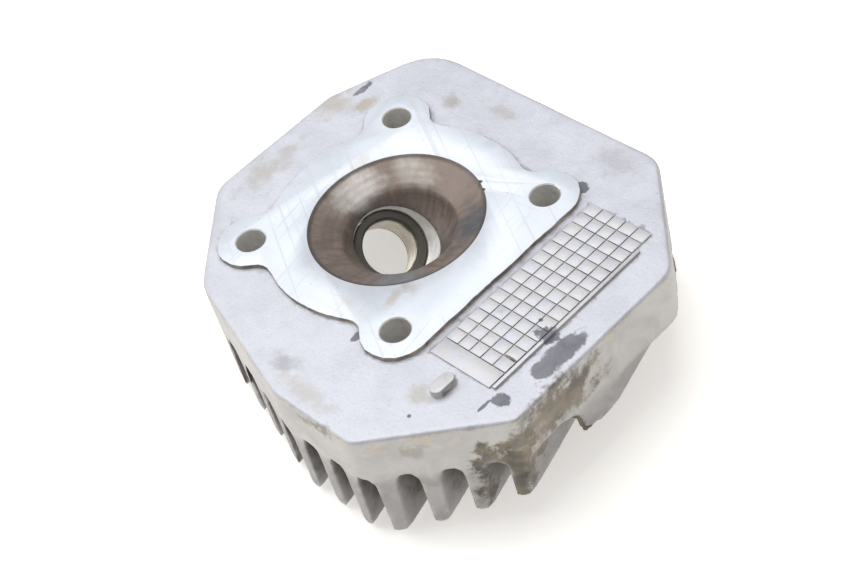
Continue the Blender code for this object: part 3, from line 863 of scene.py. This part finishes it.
def cast_finish(colours, groups):
    """As-cast aluminium: light mottled grey, oily brown grime and painted shade between the fins, painted
    shade on the sides, worn on its edges.
    """
    material, nodes, shader = new_material("as_cast_aluminium")
    where = nodes.place()
    grain = nodes.group(groups["grain"], place=where, grain=1500.0, mottle=110.0)
    height_above = nodes.add("ShaderNodeSeparateXYZ", {0: where}).outputs[2]
    facing_up = nodes.spread(
        nodes.add("ShaderNodeSeparateXYZ", {0: nodes.add("ShaderNodeNewGeometry").outputs["True Normal"]})
        .outputs[2], 0.5, 0.85)
    on_plate = nodes.spread(height_above, CAST_FACE - 1.4 * MM, CAST_FACE - 0.5 * MM)
    clean = tuple(colours.cast)
    lighter = tuple(min(1.0, c * 1.07) for c in clean)
    darker = tuple(c * f for c, f in zip(clean, (0.92, 0.92, 0.93)))
    colour = nodes.mix(grain["Mottling"], darker, lighter)
    colour = nodes.mix(nodes.times(grain["Speckle"], 0.25), colour, (0.36, 0.36, 0.37))
    # Sides are warmer and duller than the plate's face: a warmer tone with painted shade, and the fins
    # below the plate darker still, painted shade between them.
    side = nodes.without(nodes.times(facing_up, on_plate))
    plate_side_shade = nodes.mix(grain["Mottling"], (0.43, 0.40, 0.365), (0.56, 0.535, 0.50))
    fin_side_shade = nodes.mix(grain["Mottling"], (0.22, 0.20, 0.175), (0.36, 0.335, 0.30))
    low = nodes.spread(height_above, PLATE_BOTTOM - 1.5 * MM, PLATE_BOTTOM + 2.5 * MM, 1.0, 0.0)
    side_shade_tint = nodes.mix(low, plate_side_shade, fin_side_shade)
    colour = nodes.mix(nodes.times(side, 0.75), colour, side_shade_tint)
    # Grime and painted shade, darkest where the surface is sheltered, mostly on the sides.
    grime = nodes.group(groups["grime"], place=where, shelter=nodes.attribute("shelter"),
                        hollow=nodes.attribute("hollow"),
                        amount=nodes.spread(side, 0.0, 1.0, 0.4, 0.92), break_up=230.0)
    dirt_and_shade = nodes.mix(grime["Tone"], tuple(colours.grime), (0.16, 0.125, 0.08))
    colour = nodes.mix(grime["Mask"], colour, dirt_and_shade)
    # Warm stains on the plate.
    for centre, size, tint, strength in (
            ((-41.5, 19.0), (5.5, 8.0), (0.40, 0.35, 0.25), 0.5),
            ((-38.5, -4.0), (4.5, 13.0), (0.38, 0.345, 0.27), 0.45),
            ((-34.0, 23.5), (2.6, 4.0), (0.40, 0.33, 0.24), 0.6),
            ((-16.9, 35.5), (4.0, 2.6), (0.33, 0.30, 0.23), 0.55),
            ((-3.8, 38.8), (4.5, 2.2), (0.36, 0.33, 0.27), 0.4),
            ((8.4, -42.3), (5.0, 3.4), (0.33, 0.33, 0.34), 0.6),
            ((39.5, -32.5), (3.6, 2.6), (0.40, 0.37, 0.30), 0.5),
            ((20.0, -46.0), (11.0, 2.6), (0.44, 0.40, 0.32), 0.4),
            ((30.0, 40.0), (8.0, 5.0), (0.38, 0.37, 0.38), 0.4),
            ((38.4, -6.8), (1.7, 1.7), (0.22, 0.22, 0.26), 0.5),
            ((42.3, -28.4), (2.4, 4.2), (0.40, 0.40, 0.41), 0.8)):
        mask = nodes.patch(groups["patch"], where, plan(*centre), (*size, 6), 0.9, 0.9, 170.0)
        colour = nodes.mix(nodes.times(mask, strength), colour, tint)
    # Dark gasket and paint remains on the plate, and a painted shadow in an L along two edges of one raised
    # cell.
    dark = None
    for centre, size, ragged in (
            ((56.0, -7.5), (3.1, 7.6), 0.35), ((50.6, -5.8), (2.9, 2.2), 0.7),
            ((55.8, -13.5), (2.9, 2.7), 0.25), ((54.0, -24.0), (2.1, 2.0), 0.5),
            ((52.4, -26.9), (0.5, 2.0), 0.5), ((41.5, -37.7), (0.5, 0.5), 0.2),
            # The thin strips at (48.6, -14.8) and (50.4, -16.8) are a painted shadow along a raised cell's
            # edges.
            ((46.8, -3.7), (0.6, 0.5), 0.3), ((48.6, -14.8), (1.9, 0.28), 0.15),
            ((50.4, -16.8), (0.28, 1.9), 0.15), ((28.0, 30.5), (2.0, 1.6), 0.7),
            ((17.0, -29.0), (0.9, 1.7), 0.6), ((-39.0, 27.0), (1.0, 3.2), 0.5)):
        mask = nodes.patch(groups["patch"], where, plan(*centre), (*size, 3), ragged, 0.25, 520.0)
        dark = mask if dark is None else nodes.maths("MAXIMUM", dark, mask)
    dark_tone = nodes.mix(grain["Mottling"], (0.085, 0.09, 0.11), (0.21, 0.215, 0.25))
    colour = nodes.mix(nodes.times(dark, 0.92), colour, dark_tone)
    # Oily lumps at the front right corner's fins.
    oily = nodes.patch(groups["patch"], where, plan(59.0, -30.0, GASKET - 17 * MM), (9, 11, 12),
                       0.8, 0.35, 210.0)
    oily_side = nodes.times(oily, side)
    colour = nodes.mix(nodes.times(oily_side, 0.9), colour,
                       nodes.mix(grime["Tone"], (0.03, 0.027, 0.02), (0.22, 0.17, 0.10)))
    # Brown crust on the right side and at the front right edges of the plate.
    for centre, size, strength in (
            ((60.7, -16.0, -7.0), (4.0, 17.0, 8.0), 0.85),
            ((46.0, -43.0, -6.0), (4.0, 4.0, 4.0), 0.4),
            ((26.0, -50.4, -3.0), (6.0, 2.0, 2.4), 0.6),
            ((50.5, -39.2, -1.4), (2.4, 2.4, 1.2), 0.7), ((54.5, -35.0, -1.4), (2.6, 2.6, 1.2), 0.7),
            ((58.4, -30.8, -1.4), (2.4, 2.6, 1.2), 0.7)):
        crust = nodes.patch(groups["patch"], where, plan(*centre[:2], GASKET + centre[2] * MM), size,
                            0.8, 0.6, 300.0)
        colour = nodes.mix(nodes.times(crust, strength), colour,
                           nodes.mix(grime["Tone"], (0.10, 0.085, 0.06), (0.26, 0.22, 0.16)))
    # Cream flakes along the plate's upper side.
    band = nodes.times(nodes.spread(height_above, CAST_FACE - 5.5 * MM, CAST_FACE - 2.0 * MM), side)
    flaky = nodes.noise(where, 240.0, 5.0, 0.6)
    flakes = nodes.times(band, nodes.spread(flaky, 0.55, 0.60))
    colour = nodes.mix(nodes.times(flakes, 0.75), colour, tuple(colours.flakes))
    # Bare metal on sharp edges.
    rub = nodes.times(nodes.attribute("sharp"), nodes.spread(nodes.noise(where, 420.0), 0.35, 0.6))
    rub = nodes.times(rub, nodes.without(dark), True)
    colour = nodes.mix(nodes.times(rub, 0.55), colour, (0.62, 0.61, 0.60))
    nodes.feed(shader, "Base Color", colour)
    dull = nodes.plus(nodes.times(grime["Mask"], 0.2), 0.52)
    dull = nodes.maths("SUBTRACT", dull, nodes.times(oily_side, 0.3))
    dull = nodes.plus(dull, nodes.times(grain["Mottling"], 0.08))
    nodes.feed(shader, "Roughness", dull)
    covered = nodes.maths("MAXIMUM", nodes.maths("MAXIMUM", grime["Mask"], dark), flakes)
    metal = nodes.times(nodes.without(covered), 0.5)
    nodes.feed(shader, "Metallic", metal)
    height = nodes.plus(grain["Height"], nodes.times(flakes, 0.5))
    height = nodes.plus(height, nodes.times(dark, 0.3))
    bump(nodes, shader, height, 0.55, 0.22 * MM)
    return material


def milled_finish(colours, groups):
    """Machined gasket face: bright, finely scratched, stained beside the chamber and the holes."""
    material, nodes, shader = new_material("machined_aluminium")
    where = nodes.place()
    scratches = nodes.group(groups["scratches"], place=where, turn=0.5, fineness=900.0)
    grain = nodes.group(groups["grain"], place=where, grain=2600.0, mottle=70.0)
    clean = tuple(colours.machined)
    colour = nodes.mix(grain["Mottling"], tuple(c * 0.93 for c in clean), clean)
    colour = nodes.mix(nodes.times(scratches["Mask"], 0.35), colour, (0.60, 0.62, 0.66))
    for centre, size, tint, strength, soft in (
            ((16.8, -17.5), (2.4, 5.0), (0.50, 0.42, 0.35), 0.5, 0.9),
            ((18.0, -13.0), (3.2, 2.6), (0.50, 0.43, 0.37), 0.45, 0.9),
            ((-20.0, 8.0), (2.5, 3.5), (0.62, 0.58, 0.52), 0.4, 0.9),
            ((23.5, -27.0), (2.6, 1.0), (0.45, 0.43, 0.41), 0.5, 0.8),
            ((8.0, -25.0), (4.0, 3.0), (0.66, 0.66, 0.64), 0.5, 0.9),
            ((-1.0, -20.0), (6.0, 5.0), (0.66, 0.68, 0.70), 0.35, 0.9)):
        mask = nodes.patch(groups["patch"], where, plan(*centre, GASKET), (*size, 3), 0.8, soft, 260.0)
        colour = nodes.mix(nodes.times(mask, strength), colour, tint)
    pits = nodes.spread(nodes.noise(where, 1300.0, 2.0), 0.70, 0.74)
    colour = nodes.mix(nodes.times(pits, 0.55), colour, (0.35, 0.33, 0.31))
    nodes.feed(shader, "Base Color", colour)
    rough = nodes.plus(nodes.times(grain["Mottling"], 0.1), nodes.times(scratches["Mask"], 0.08))
    nodes.feed(shader, "Roughness", nodes.plus(rough, 0.44))
    shader.inputs["Metallic"].default_value = 0.35
    height = nodes.plus(nodes.times(scratches["Height"], 0.6), nodes.times(grain["Height"], 0.3))
    bump(nodes, shader, height, 0.25, 0.04 * MM)
    return material


def pad_side_finish(groups):
    """Cast side of the pad, with a brown line of old gasket glue; its dark brown is also painted shade in
    the step.
    """
    material, nodes, shader = new_material("pad_side")
    where = nodes.place()
    grain = nodes.group(groups["grain"], place=where, grain=1500.0, mottle=200.0)
    # Dark brown: old gasket glue, and painted shade in the step.
    colour = nodes.mix(grain["Mottling"], (0.17, 0.145, 0.125), (0.45, 0.40, 0.34))
    nodes.feed(shader, "Base Color", colour)
    nodes.feed(shader, "Roughness", nodes.spread(grain["Speckle"], 0, 1, 0.55, 0.8))
    shader.inputs["Metallic"].default_value = 0.3
    bump(nodes, shader, grain["Height"], 0.6, 0.2 * MM)
    return material


def chamber_finish(colours, groups):
    """Sooty chamber: brown and grey streaks, turning rings, darker round the plug, with painted light on
    its left and back walls and painted shade on its right walls.
    """
    material, nodes, shader = new_material("sooty_chamber")
    where = nodes.place()
    local = about(nodes, where, (BORE.x, BORE.y, GASKET))
    rings = nodes.group(groups["rings"], place=local, pitch=9000.0, waver=1.2)
    grain = nodes.group(groups["grain"], place=where, grain=1700.0, mottle=150.0)
    soot = tuple(colours.soot)
    colour = nodes.mix(nodes.spread(rings["Angle noise"], 0.35, 0.68), tuple(c * 0.88 for c in soot),
                       tuple(min(1, c * f) for c, f in zip(soot, (1.2, 1.2, 1.2))))
    colour = nodes.mix(nodes.times(grain["Mottling"], 0.45), colour, (0.21, 0.185, 0.18))
    # Painted shade on the right walls, bluish at the front right; painted light on the left and back walls,
    # pale; darker in the pocket.
    for centre, size, tint, strength, soft in (
            ((15.5, 10.0, -2), (8.0, 9.0, 7), (0.105, 0.115, 0.135), 0.9, 0.8),
            ((12.5, -12.0, -2), (10.0, 8.0, 7), (0.26, 0.28, 0.31), 0.85, 0.8),
            ((-16.0, 2.0, -2), (5.5, 9.0, 6), (0.60, 0.58, 0.56), 0.9, 0.8),
            ((-8.5, 14.0, -1), (9.0, 5.5, 4), (0.44, 0.41, 0.375), 0.85, 0.8),
            ((5.0, 3.0, -12), (9.0, 9.5, 7), (0.15, 0.13, 0.12), 0.85, 0.55)):
        mask = nodes.patch(groups["patch"], local, [c * MM for c in centre], size, 0.5, soft, 150.0)
        colour = nodes.mix(nodes.times(mask, strength), colour, tint)
    near_plug = about(nodes, where, PLUG_MOUTH + PLUG_AXIS * -1.5 * MM)
    reach = nodes.add("ShaderNodeVectorMath", {0: near_plug}, operation="LENGTH").outputs["Value"]
    wobble = nodes.times(nodes.noise(where, 260.0, 3.0), 3 * MM)
    black = nodes.spread(nodes.plus(reach, wobble), 9.8 * MM, 12.6 * MM, 1.0, 0.0)
    colour = nodes.mix(nodes.times(black, 0.8), colour, (0.075, 0.065, 0.055))
    # Burnt brown line just inside the rim.
    parts = nodes.add("ShaderNodeSeparateXYZ", {0: local}).outputs
    line = nodes.spread(nodes.plus(parts[2], nodes.times(nodes.noise(where, 500.0), 0.3 * MM)),
                        -0.5 * MM, -0.1 * MM)
    colour = nodes.mix(nodes.times(line, 0.6), colour, (0.09, 0.08, 0.075))
    nodes.feed(shader, "Base Color", colour)
    rough = nodes.spread(rings["Angle noise"], 0.3, 0.7, 0.38, 0.6)
    nodes.feed(shader, "Roughness", rough)
    nodes.feed(shader, "Metallic", nodes.spread(black, 0.0, 1.0, 0.5, 0.05))
    height = nodes.plus(nodes.times(rings["Height"], 0.25), nodes.times(grain["Height"], 0.9))
    bump(nodes, shader, height, 0.4, 0.12 * MM)
    return material


def bored_finish(groups):
    """Walls of the drilled and bored holes: grey-brown, ringed, oily."""
    material, nodes, shader = new_material("bored_aluminium")
    where = nodes.place()
    rings = nodes.group(groups["rings"], place=where, pitch=12000.0, waver=2.0)
    grain = nodes.group(groups["grain"], place=where, grain=1500.0, mottle=220.0)
    colour = nodes.mix(grain["Mottling"], (0.72, 0.71, 0.69), (0.86, 0.85, 0.83))
    nodes.feed(shader, "Base Color", colour)
    nodes.feed(shader, "Roughness", nodes.spread(grain["Mottling"], 0, 1, 0.35, 0.6))
    shader.inputs["Metallic"].default_value = 0.5
    bump(nodes, shader, rings["Height"], 0.3, 0.05 * MM)
    return material


def steel_finish(name, colours, groups, centre, rust):
    """Turned steel with soot or rust."""
    material, nodes, shader = new_material(name)
    where = nodes.place()
    rings = nodes.group(groups["rings"], place=about(nodes, where, centre), pitch=14000.0, waver=1.5)
    grain = nodes.group(groups["grain"], place=where, grain=2200.0, mottle=260.0)
    steel = tuple(colours.steel)
    colour = nodes.mix(grain["Mottling"], tuple(c * 0.7 for c in steel), tuple(c * 1.25 for c in steel))
    patchy = nodes.spread(nodes.noise(where, 420.0, 5.0, 0.65), 0.5, 0.66)
    colour = nodes.mix(nodes.times(patchy, rust), colour, (0.17, 0.075, 0.035))
    nodes.feed(shader, "Base Color", colour)
    nodes.feed(shader, "Roughness", nodes.spread(patchy, 0, 1, 0.32, 0.75))
    nodes.feed(shader, "Metallic", nodes.spread(patchy, 0, 1, 0.9, 0.3))
    height = nodes.plus(nodes.times(rings["Height"], 0.4), grain["Height"])
    bump(nodes, shader, height, 0.4, 0.05 * MM)
    return material


def insert_finish(colours, groups):
    """Steel thread insert: pale and scaled outside, sooty towards the chamber."""
    material, nodes, shader = new_material("insert_steel")
    where = nodes.place()
    grain = nodes.group(groups["grain"], place=where, grain=2200.0, mottle=300.0)
    along = nodes.add("ShaderNodeVectorMath", {0: about(nodes, where, PLUG_MOUTH), 1: PLUG_AXIS},
                      operation="DOT_PRODUCT").outputs["Value"]
    colour = nodes.mix(grain["Mottling"], (0.80, 0.75, 0.64), (0.92, 0.88, 0.78))
    steel = nodes.mix(grain["Speckle"], tuple(colours.steel), (0.30, 0.27, 0.22))
    colour = nodes.mix(nodes.spread(along, 8.2 * MM, 9.2 * MM), colour, steel)
    depth = nodes.plus(along, nodes.times(nodes.noise(where, 300.0), 3 * MM))
    sooty = nodes.spread(depth, 2.8 * MM, 4.6 * MM, 1.0, 0.0)
    colour = nodes.mix(nodes.times(sooty, 0.93), colour, (0.035, 0.032, 0.028))
    nodes.feed(shader, "Base Color", colour)
    nodes.feed(shader, "Roughness", nodes.spread(sooty, 0, 1, 0.4, 0.75))
    nodes.feed(shader, "Metallic", nodes.spread(sooty, 0, 1, 0.45, 0.05))
    bump(nodes, shader, grain["Height"], 0.4, 0.06 * MM)
    return material


def floor_finish(glow):
    """Plain pale sheet that glows a little from below."""
    material, nodes, shader = new_material("pale_floor")
    where = nodes.place()
    tone = nodes.mix(nodes.noise(where, 6.0, 3.0), (0.86, 0.855, 0.84), (0.90, 0.895, 0.885))
    nodes.feed(shader, "Base Color", tone)
    shader.inputs["Roughness"].default_value = 0.75
    shader.inputs["Emission Color"].default_value = (1.0, 0.975, 0.94, 1)
    shader.inputs["Emission Strength"].default_value = glow
    return material


GROUPS = {}


def groups():
    """Shared shader groups, made on first use."""
    if not GROUPS:
        GROUPS.update(shared_groups())
    return GROUPS


# Operators.

class HEAD_OT_stage(bpy.types.Operator):
    """Make the floor, the soft lights and the camera"""
    bl_idname = "head.stage"
    bl_label = "Stage"

    def execute(self, context):
        studio = context.scene.head_studio
        bpy.ops.object.select_all(action="DESELECT")
        bpy.ops.mesh.primitive_grid_add(x_subdivisions=4, y_subdivisions=4, size=6)
        floor = context.object
        floor.name = "floor"
        floor.data.materials.append(floor_finish(studio.floor_glow))
        middle = (CAD_BOX[0] + CAD_BOX[1]) / 2
        lights = [
            ("overhead", (-0.25, 0.10, 0.85), 0.9, studio.overhead_power, (1.0, 0.985, 0.96)),
            ("window", (-0.75, -0.45, 0.55), 0.6, studio.overhead_power * 0.45, (0.96, 0.98, 1.0)),
        ]
        for name, spot, size, power, tint in lights:
            bpy.ops.object.light_add(type="AREA", location=spot)
            light = context.object
            light.name = name
            light.data.shape = "DISK"
            light.data.size = size
            light.data.energy = power
            light.data.color = tint
            light.rotation_euler = (Vector(spot) - middle).to_track_quat("Z", "Y").to_euler()
        world = context.scene.world or bpy.data.worlds.new("studio")
        context.scene.world = world
        world.use_nodes = True
        backdrop = world.node_tree.nodes["Background"]
        backdrop.inputs["Color"].default_value = (1.0, 0.995, 0.985, 1)
        backdrop.inputs["Strength"].default_value = studio.sky
        context.scene.view_settings.view_transform = "Standard"
        spot = Vector(studio.camera_place)
        bpy.ops.object.camera_add(location=spot)
        camera = context.object
        back = (spot - middle).normalized()
        right = Vector(studio.camera_up).cross(back).normalized()
        turn = Matrix((right, back.cross(right), back)).transposed()
        camera.rotation_mode = "QUATERNION"
        camera.rotation_quaternion = turn.to_quaternion()
        camera.data.lens = studio.lens
        camera.data.clip_start = 0.01
        context.scene.camera = camera
        return {"FINISHED"}


class HEAD_OT_casting(bpy.types.Operator):
    """Make the cast body with its machined gasket face, chamber and holes"""
    bl_idname = "head.casting"
    bl_label = "Cast body"

    def execute(self, context):
        sizes = context.scene.head_casting
        colours = context.scene.head_colours
        cast = cast_finish(colours, groups())
        milled = milled_finish(colours, groups())
        pad_side = pad_side_finish(groups())
        chamber = chamber_finish(colours, groups())
        bored = bored_finish(groups())
        item = copy_casting()
        fill_machined_holes(item)
        cut_flat(item, CAST_FACE - 0.01 * MM)
        bite_edges(item)
        roughen(item, sizes)
        thin_out(item, 150000)
        item.data.materials.clear()
        item.data.materials.append(cast)
        combine(item, cell_patch(sizes, cast), "UNION")
        combine(item, raised_lug(cast), "UNION")
        combine(item, gasket_pad(sizes, milled, pad_side), "UNION")
        cut_machined_holes(item, bored, chamber, milled)
        nick_chamber_rim(item, chamber)
        keep_inside(item)
        mark_relief(item)
        smooth_by_angle(item, 38)
        finish_piece(item, "cast_aluminium", "head_casting")
        return {"FINISHED"}


class HEAD_OT_insert(bpy.types.Operator):
    """Make the steel thread insert in the plug bore"""
    bl_idname = "head.insert"
    bl_label = "Thread insert"

    def execute(self, context):
        crest, root, outer = INSERT_CREST, INSERT_ROOT, INSERT_OUTER
        top, bottom = -0.3 * MM, -9.2 * MM
        soft = 0.25 * MM
        item = lathe("plug_insert", [(outer - soft, top), (outer, top - soft), (outer, bottom + soft),
                                     (outer - soft, bottom)], steps=96)
        combine(item, lathe("hole", [(crest + soft * 2, top + MM), (crest + soft * 2, top),
                                     (crest, top - soft * 2), (crest, bottom + soft * 2),
                                     (crest + soft * 2, bottom), (crest + soft * 2, bottom - MM)],
                            steps=96), "DIFFERENCE")
        combine(item, thread_cutter(crest, root, bottom, top), "DIFFERENCE")
        place(item, PLUG_FRAME)
        item.data.materials.clear()
        item.data.materials.append(insert_finish(context.scene.head_colours, groups()))
        smooth_by_angle(item, 30)
        finish_piece(item, "thread_steel", "plug_thread_insert")
        return {"FINISHED"}


def thread_cutter(crest, root, bottom, top):
    """Helix of triangular section that cuts the insert's thread."""
    pitch = THREAD_PITCH
    turns = int((top - bottom) / pitch) + 3
    bpy.ops.object.select_all(action="DESELECT")
    bpy.ops.mesh.primitive_circle_add(vertices=3, radius=1, fill_type="NOTHING")
    item = bpy.context.object
    start = bottom - 1.5 * pitch
    inner, rise = crest - 0.25 * MM, pitch * 0.44
    corners = [(root, start), (inner, start + rise), (inner, start - rise)]
    for vertex, (radius, height) in zip(item.data.vertices, corners):
        vertex.co = (radius, 0, height)
    apply_modifier(item, "SCREW", steps=48, render_steps=48, screw_offset=pitch, iterations=turns,
                   use_merge_vertices=False)
    edit(item)
    bpy.ops.mesh.select_all(action="SELECT")
    bpy.ops.mesh.fill_holes(sides=4)
    bpy.ops.mesh.select_all(action="SELECT")
    bpy.ops.mesh.normals_make_consistent(inside=False)
    bpy.ops.object.mode_set(mode="OBJECT")
    return item


class HEAD_OT_washers(bpy.types.Operator):
    """Make the flat washers in the nut seats"""
    bl_idname = "head.washers"
    bl_label = "Nut washers"

    def execute(self, context):
        hole, outer = 3.2 * MM, (WASHER_HIGH.x - WASHER_LOW.x) / 2
        low, high = WASHER_LOW.z, WASHER_HIGH.z
        soft = 0.3 * MM
        model = lathe("washer_model", [
            (outer - soft, low), (outer - soft * 0.3, low + soft * 0.3), (outer, low + soft),
            (outer, high - soft * 0.6), (outer - soft * 0.6, high)], steps=72)
        combine(model, lathe("hole", [
            (hole + soft, low - MM), (hole + soft, low), (hole, low + soft), (hole, high - soft),
            (hole + soft * 0.7, high), (hole + soft * 0.7, high + MM)], steps=72), "DIFFERENCE")
        model.data.materials.clear()
        for number, (name, stud) in enumerate(zip(WASHERS, STUDS)):
            item = model.copy()
            item.data = model.data.copy()
            item.name = f"steel_washer_{number + 1}"
            context.scene.collection.objects.link(item)
            turn = Matrix.Rotation(number * 1.3, 4, "Z")
            place(item, Matrix.Translation((stud.x, stud.y, 0)) @ turn)
            centre = (stud.x, stud.y, 0)
            item.data.materials.append(steel_finish(
                f"washer_steel_{number + 1}", context.scene.head_colours, groups(), centre, 0.75))
            smooth_by_angle(item, 30)
            finish_piece(item, "washer_steel", name)
        bpy.data.objects.remove(model, do_unlink=True)
        return {"FINISHED"}


class HEAD_PT_panel(bpy.types.Panel):
    """Lists the head's pieces and settings"""
    bl_idname = "HEAD_PT_panel"
    bl_label = "Cylinder head"
    bl_space_type = "VIEW_3D"
    bl_region_type = "UI"
    bl_category = "Cylinder head"

    def draw(self, context):
        layout = self.layout
        for operator in OPERATORS:
            layout.operator(operator.bl_idname)
        for settings in (context.scene.head_casting, context.scene.head_colours, context.scene.head_studio):
            for name in settings.__annotations__:
                layout.prop(settings, name)


OPERATORS = (HEAD_OT_stage, HEAD_OT_casting, HEAD_OT_insert, HEAD_OT_washers)
CLASSES = (CastingSizes, FinishColours, StudioSettings, *OPERATORS, HEAD_PT_panel)


def register():
    """Register the classes and hang the settings on the scene."""
    for item in CLASSES:
        bpy.utils.register_class(item)
    bpy.types.Scene.head_casting = bpy.props.PointerProperty(type=CastingSizes)
    bpy.types.Scene.head_colours = bpy.props.PointerProperty(type=FinishColours)
    bpy.types.Scene.head_studio = bpy.props.PointerProperty(type=StudioSettings)


def unregister():
    """Take the settings and the classes away again."""
    del bpy.types.Scene.head_studio
    del bpy.types.Scene.head_colours
    del bpy.types.Scene.head_casting
    for item in reversed(CLASSES):
        bpy.utils.unregister_class(item)


def main():
    """Build everything in order."""
    register()
    bpy.ops.head.stage()
    bpy.ops.head.casting()
    bpy.ops.head.insert()
    bpy.ops.head.washers()


if __name__ == "__main__":
    main()
